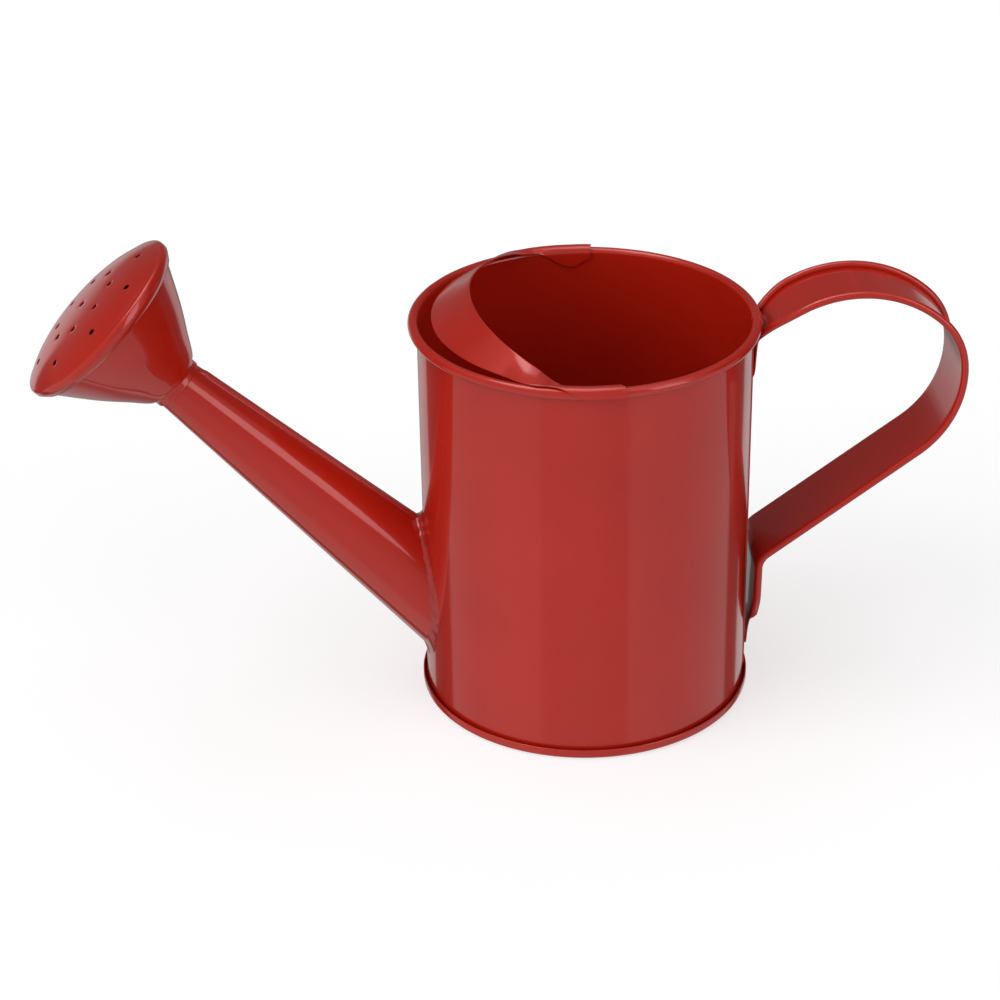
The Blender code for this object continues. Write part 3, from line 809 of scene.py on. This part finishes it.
def make_rose_face(material):
    """The domed front with its 17 punched holes, tight edge and skirt, as one closed sheet."""
    place = rose_frame()
    count, border = ROSE_TURNS, FACE_BORDER
    plan, triangles, centres = dome_layout(border, count)
    shift = len(plan)
    vertices = []
    for inside in (False, True):
        for x, y in plan:
            dimple, sheet = hole_edge(x, y, centres)
            height = FACE_START + dome_height(math.hypot(x, y)) - dimple - (sheet if inside else 0.0)
            vertices.append((x, y, height))
    faces = list(triangles) + [tuple(i + shift for i in reversed(face)) for face in triangles]
    for centre in centres:
        rim = ring_of(plan, centre, HOLE_RADIUS)
        faces += [(a, b, b + shift, a + shift) for a, b in zip(rim, rim[1:] + rim[:1])]
    outer = edge_line(border)
    loop = sheet_loop(outer, 2 * SHEET, round_start=False, round_end=False)
    inner = loop[len(outer):]
    lip = [(outer[-1] + inner[0]) / 2 + np.array((-0.06 * MM, -0.14 * MM))]
    edge = ring_of(plan, (0.0, 0.0), border)
    angles = [math.atan2(plan[i][1], plan[i][0]) for i in edge]
    rows = [edge]
    for r, z in [*outer[1:], *lip, *inner[:-1]]:
        rows.append(list(range(len(vertices), len(vertices) + count)))
        vertices += [(r * math.cos(a), r * math.sin(a), z) for a in angles]
    rows.append([i + shift for i in edge])
    for low, high in zip(rows, rows[1:]):
        for k in range(count):
            n = (k + 1) % count
            faces.append((low[k], low[n], high[n], high[k]))
    placed = [place @ Vector(v) for v in vertices]
    return mesh_object("rose_front", placed, faces, material, smooth_angle=50.0)


# --- Handle ------------------------------------------------------------------------------------


def strap_route(step=1.5 * MM, turn_step=2.5):
    """Stations along the strap's middle line: (x, z, heading, distance from the foot)."""
    x, z = STRAP_START
    heading = STRAP_HEADING
    route = [(x, z, heading, 0.0)]
    distance = 0.0
    for size, turn in STRAP_BENDS:
        count = max(3, round(abs(turn) / turn_step)) if turn else max(2, round(size / step))
        bend = math.radians(turn) / count
        chord = 2 * size * math.sin(abs(bend) / 2) if turn else size / count
        for _ in range(count):
            x += chord * math.cos(heading + bend / 2)
            z += chord * math.sin(heading + bend / 2)
            heading += bend
            distance += size * abs(bend) if turn else chord
            route.append((x, z, heading, distance))
    return route


def eased_route():
    """The route with its bends eased in and out, and extra stations at the rounded tips."""
    route = strap_route()
    distances = np.array([p[3] for p in route])
    total = distances[-1]
    wanted = np.arange(0.0, total, 0.8 * MM)
    tips = TAB_HALF_WIDTH * (1.0 - np.cos(np.radians(np.linspace(0.0, 90.0, 12))))
    inside = wanted[(wanted > TAB_HALF_WIDTH + 0.3 * MM) & (wanted < total - TAB_HALF_WIDTH - 0.3 * MM)]
    stations = np.concatenate([tips, inside, (total - tips)[::-1]])
    headings = np.interp(stations, distances, [p[2] for p in route])
    eased = headings.copy()
    for i, s in enumerate(stations):
        weight = np.exp(-(((stations - s) / (1.1 * MM)) ** 2))
        eased[i] = (weight * headings).sum() / weight.sum()
    xs = np.interp(stations, distances, [p[0] for p in route])
    zs = np.interp(stations, distances, [p[1] for p in route])
    return [(x, z, h, s) for x, z, h, s in zip(xs, zs, eased, stations)], total


def strap_shape(distance, total):
    """Half the flat width and the curl's turn, at a distance along the strap."""
    at_foot = distance < total / 2
    end = distance if at_foot else total - distance
    plain, full = (TAB_PLAIN[0], TAB_TAPER[0]) if at_foot else (TAB_PLAIN[1], TAB_TAPER[1])
    tip = min(end / TAB_HALF_WIDTH, 1.0)
    rounded = TAB_HALF_WIDTH * math.sqrt(max(1.0 - (1.0 - tip) ** 2, 0.003))
    taper = smooth_step(end, 0.7 * plain, full)
    curl = smooth_step(end, plain, plain + CURL_GROWTH)
    flat = STRAP_FLAT[0] + (STRAP_FLAT[1] - STRAP_FLAT[0]) * distance / total
    return rounded + (flat - TAB_HALF_WIDTH) * taper, STRAP_CURL_TURN * max(curl, 0.02)


def strap_line(half_width, curl_turn):
    """Middle line across the strap, as (y, height above the flat), both edges curled outwards."""
    curl = []
    for t in np.linspace(0.0, curl_turn, 16):
        curl.append((half_width + STRAP_CURL * math.sin(t), STRAP_CURL * (1.0 - math.cos(t))))
    flat = [(half_width * share, 0.0) for share in (-0.9, -0.6, -0.3, 0.0, 0.3, 0.6, 0.9)]
    return [(-y, h) for y, h in reversed(curl)] + flat + curl


def make_handle(material):
    """The tabs at both ends are pressed against the wall, and follow its curve."""
    route, total = eased_route()
    sections = []
    for x, z, heading, distance in route:
        loop = sheet_loop(strap_line(*strap_shape(distance, total)), STRAP_SHEET)
        out_x, out_z = math.sin(heading), -math.cos(heading)
        from_tip = min(distance, total - distance)
        pressed = 1.0 - smooth_step(from_tip, TAB_PRESS_FULL, TAB_PRESS_END)
        x -= TAB_PRESS * pressed
        bow = pressed / (2 * CAN_RADIUS)
        section = []
        for y, h in loop:
            height = h - bow * y * y
            section.append((x + out_x * height, y, z + out_z * height))
        sections.append(section)
    return loft("handle_sheet", sections, material, smooth_angle=45.0)


# --- Studio ------------------------------------------------------------------------------------


def make_floor():
    """A plain pale floor that the object's gloss doesn't mirror."""
    material, nodes, shader, where = new_material("studio_floor")
    shader.inputs["Base Color"].default_value = (0.50, 0.50, 0.50, 1.0)
    nodes.put(shader, "Roughness", nodes.between(nodes.noise(where, 0.2), 0.85, 0.95))
    shader.inputs["Emission Color"].default_value = (1.0, 1.0, 1.0, 1.0)
    seen = nodes.add("ShaderNodeLightPath").outputs["Is Camera Ray"]
    nodes.put(shader, "Emission Strength", nodes.between(seen, 0.18, 0.60))
    bm = bmesh.new()
    bmesh.ops.create_grid(bm, x_segments=2, y_segments=2, size=6.0)
    mesh = mesh_from("studio_floor", bm)
    mesh.materials.append(material)
    floor = new_object("studio_floor", mesh)
    floor.location = (0.0, 0.0, -0.0002)
    floor.visible_glossy = False


def azimuth_stops(pairs):
    """Ramp stops from (azimuth in degrees, brightness): 0 towards the camera, + to its right."""
    return [((azimuth + 180.0) / 360.0, value) for azimuth, value in pairs]


# Brightness round the set: the table's glow, the walls, the soft boxes over them, and the ceiling
TABLE_BAND = (
    (-180, 0.04), (-172, 0.05), (-160, 0.13), (-141, 0.16), (-138, 0.01), (-113, 0.01),
    (-110, 0.13), (-82, 0.13), (-56, 0.17), (-33, 0.18), (-28, 0.14), (0, 0.145),
    (28, 0.12), (33, 0.185), (56, 0.16), (92, 0.14), (120, 0.13), (124, 0.01),
    (140, 0.01), (144, 0.18), (160, 0.14), (172, 0.05), (180, 0.04),
)
WALL_BAND = (
    (-180, 0.03), (-150, 0.03), (-100, 0.04), (-85, 0.07), (-35, 0.10), (-30, 0.12),
    (30, 0.10), (36, 0.06), (41, 0.04), (45, 0.62), (64, 0.62), (69, 0.10),
    (88, 0.07), (92, 0.015), (130, 0.02), (150, 0.03), (180, 0.03),
)
BOX_BAND = (
    (-180, 0.08), (-125, 0.08), (-112, 0.13), (-32, 0.16), (-26, 0.08), (30, 0.08),
    (37, 0.30), (88, 0.30), (93, 0.08), (180, 0.08),
)
CEILING_BAND = (
    (-180, 0.30), (-160, 0.40), (-145, 1.0), (-60, 1.0), (-40, 0.25), (30, 0.15),
    (90, 0.15), (180, 0.30),
)
# Each upper band, and the heights (0 straight down, 1 straight up) over which it takes over
UPPER_BANDS = ((WALL_BAND, 0.45, 0.515), (BOX_BAND, 0.80, 0.86), (CEILING_BAND, 0.925, 0.94))
BAND_STRENGTH = 4.0


def make_studio_world():
    """A white tent: soft boxes left and right, dark gaps behind them, and even fill light."""
    world = bpy.data.worlds.new("studio")
    bpy.context.scene.world = world
    world.use_nodes = True
    world.node_tree.nodes.clear()
    nodes = Nodes(world.node_tree)
    direction = nodes.add("ShaderNodeTexCoord").outputs["Generated"]
    turned = nodes.add("ShaderNodeMapping", Vector=direction, Rotation=(0.0, 0.0, -VIEW_TURN))
    parts = nodes.add("ShaderNodeSeparateXYZ", Vector=turned.outputs["Vector"])
    height = parts.outputs["Z"]
    towards = nodes.math("MULTIPLY", parts.outputs["Y"], -1.0)
    azimuth = nodes.math("ARCTAN2", parts.outputs["X"], towards)
    share = nodes.math("ADD", nodes.math("DIVIDE", azimuth, 2 * math.pi), 0.5)
    raised = nodes.math("ADD", nodes.math("MULTIPLY", height, 0.5), 0.5)
    bands = nodes.ramp(share, azimuth_stops(TABLE_BAND))
    for band, start, end in UPPER_BANDS:
        over = nodes.ramp(raised, ((start, 0.0), (end, 1.0)))
        bands = nodes.mix(over, bands, nodes.ramp(share, azimuth_stops(band)))
    bands = nodes.mix(nodes.ramp(raised, ((0.983, 0.0), (0.990, 1.0))), bands, (0.7, 0.7, 0.7))
    front = nodes.math("ADD", nodes.math("MULTIPLY", towards, 0.5), 0.5)
    fill = nodes.ramp(front, ((0.0, 0.075), (0.45, 0.09), (0.8, 0.20), (1.0, 0.20)))
    rays = nodes.add("ShaderNodeLightPath")
    light = nodes.mix(rays.outputs["Is Diffuse Ray"], bands, fill)
    seen = nodes.mix(rays.outputs["Is Camera Ray"], light, (1.0 / BAND_STRENGTH,) * 3)
    background = nodes.add("ShaderNodeBackground", Color=seen, Strength=BAND_STRENGTH)
    output = nodes.add("ShaderNodeOutputWorld")
    nodes.put(output, "Surface", background.outputs["Background"])


def make_side_light():
    """Soft light from high on the left, which reaches down into the can."""
    data = bpy.data.lights.new("side_light", "SUN")
    data.energy = 1.0
    data.angle = math.radians(50.0)
    light = new_object("side_light", data)
    light.rotation_euler = Vector((-0.75, -0.35, 0.56)).to_track_quat("Z", "Y").to_euler()
    light.visible_glossy = False


def make_camera():
    """A long lens from above and in front."""
    data = bpy.data.cameras.new("camera")
    data.lens = CAMERA_LENS
    data.sensor_width = 36.0
    data.shift_x = CAMERA_SHIFT
    data.clip_start = 0.01
    camera = new_object("camera", data)
    camera.location = CAMERA_PLACE
    camera.rotation_euler = (CAMERA_PITCH, 0.0, VIEW_TURN)
    bpy.context.scene.camera = camera


def make_studio():
    """Floor, light and camera."""
    make_floor()
    make_studio_world()
    make_side_light()
    make_camera()
    bpy.context.scene.view_settings.view_transform = "Standard"
    bpy.context.scene.view_settings.look = "None"


# --- Assembly ----------------------------------------------------------------------------------


def build():
    """Makes every piece and puts it on its body."""
    red = enamel("red_enamel", RED_DEEP, RED_BRIGHT, RED_WORN)
    solder = painted_solder()
    place_piece(make_can_wall(red), "can", "red_enamel", "can_wall")
    place_piece(make_base_pan(red), "can", "red_enamel", "base_pan")
    place_piece(make_base_seal(solder), "can", "painted_solder", "base_solder")
    place_piece(make_splash_guard(red), "can", "red_enamel", "splash_guard")
    place_piece(make_spout(red), "can", "red_enamel", "spout_tube")
    place_piece(make_spout_solder(solder), "can", "painted_solder", "spout_solder")
    place_piece(make_handle(red), "can", "red_enamel", "handle_strap")
    place_piece(make_rose_funnel(red), "rose", "red_enamel", "rose_funnel")
    place_piece(make_rose_face(red), "rose", "red_enamel", "rose_face")


build()
make_studio()
